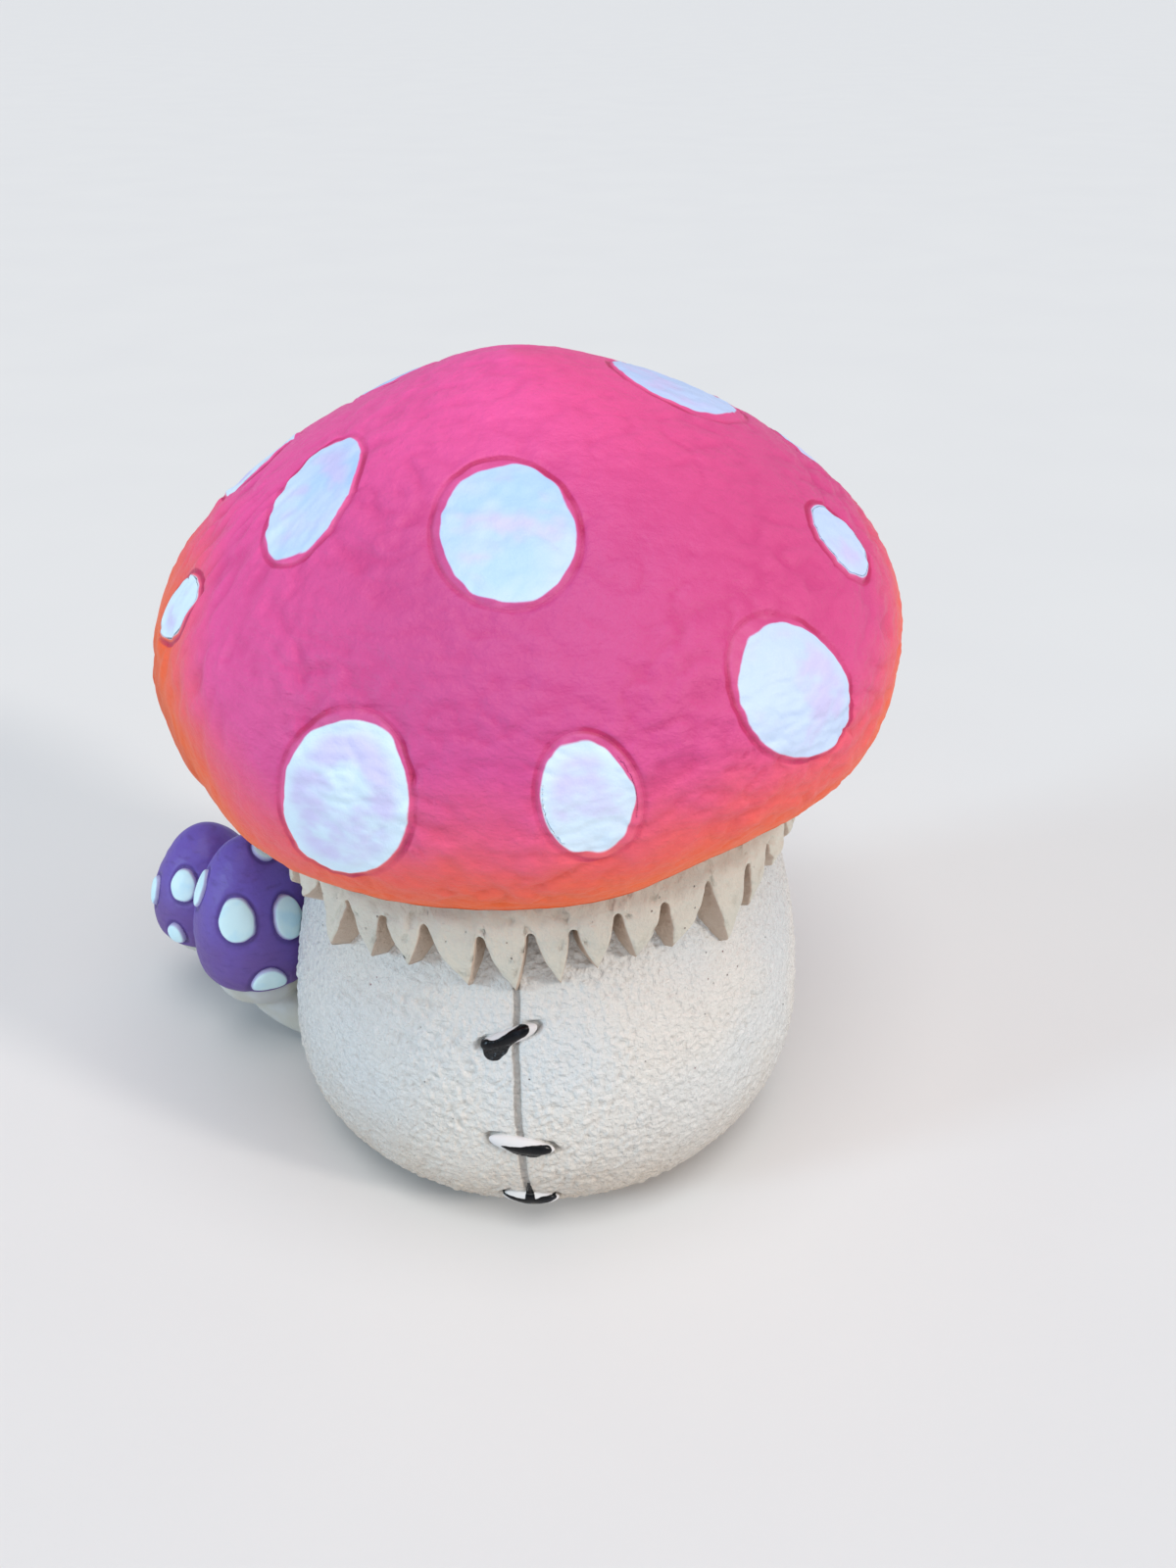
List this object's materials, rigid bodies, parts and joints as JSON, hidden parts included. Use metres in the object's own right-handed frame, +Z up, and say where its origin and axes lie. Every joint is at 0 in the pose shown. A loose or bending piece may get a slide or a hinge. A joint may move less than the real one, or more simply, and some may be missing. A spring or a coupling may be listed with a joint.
{
  "type": "mushroom ornament",
  "caption": "Painted toadstool ornament with a spotted leaning cap, a frilled collar, a round-bellied stem with a stitched seam and small mushrooms at its side",
  "frame": {"origin": "centre of the flat base of the stem, on the surface it stands on", "axes": "+Z up along the stem, -Y towards the stitched seam at the front, +X to the viewer's right, away from the small mushrooms"},
  "size_m": [0.1247, 0.1078, 0.1239],
  "materials": {
    "cap_paint": "hand-painted satin, pink fading to orange at the rim",
    "spot_paint": "hand-painted white",
    "stem_paint": "cream paint over a stippled casting",
    "collar_paint": "beige paint, tan in the notches",
    "thread_paint": "black gloss paint",
    "purple_paint": "purple satin paint",
    "stalk_paint": "pale grey-white paint"
  },
  "bodies": {
    "root": {"stem": "stem_paint", "frill_collar": "collar_paint", "cap": "cap_paint", "cap_spot_01": "spot_paint", "cap_spot_02": "spot_paint", "cap_spot_03": "spot_paint", "cap_spot_04": "spot_paint", "cap_spot_05": "spot_paint", "cap_spot_06": "spot_paint", "cap_spot_07": "spot_paint", "cap_spot_08": "spot_paint", "cap_spot_09": "spot_paint", "cap_spot_10": "spot_paint", "cap_spot_11": "spot_paint", "cap_spot_12": "spot_paint", "cap_spot_13": "spot_paint", "cap_spot_14": "spot_paint", "cap_spot_15": "spot_paint", "cap_spot_16": "spot_paint", "stitch_top": "thread_paint", "stitch_middle": "thread_paint", "stitch_bottom": "thread_paint", "small_cap_front": "purple_paint", "small_stalk_front": "stalk_paint", "small_cap_rear": "purple_paint", "small_stalk_rear": "stalk_paint", "small_front_spot_01": "spot_paint", "small_front_spot_02": "spot_paint", "small_front_spot_03": "spot_paint", "small_front_spot_04": "spot_paint", "small_front_spot_05": "spot_paint", "small_front_spot_06": "spot_paint", "small_rear_spot_01": "spot_paint", "small_rear_spot_02": "spot_paint", "small_rear_spot_03": "spot_paint", "small_rear_spot_04": "spot_paint", "small_rear_spot_05": "spot_paint"}
  },
  "joints": []
}
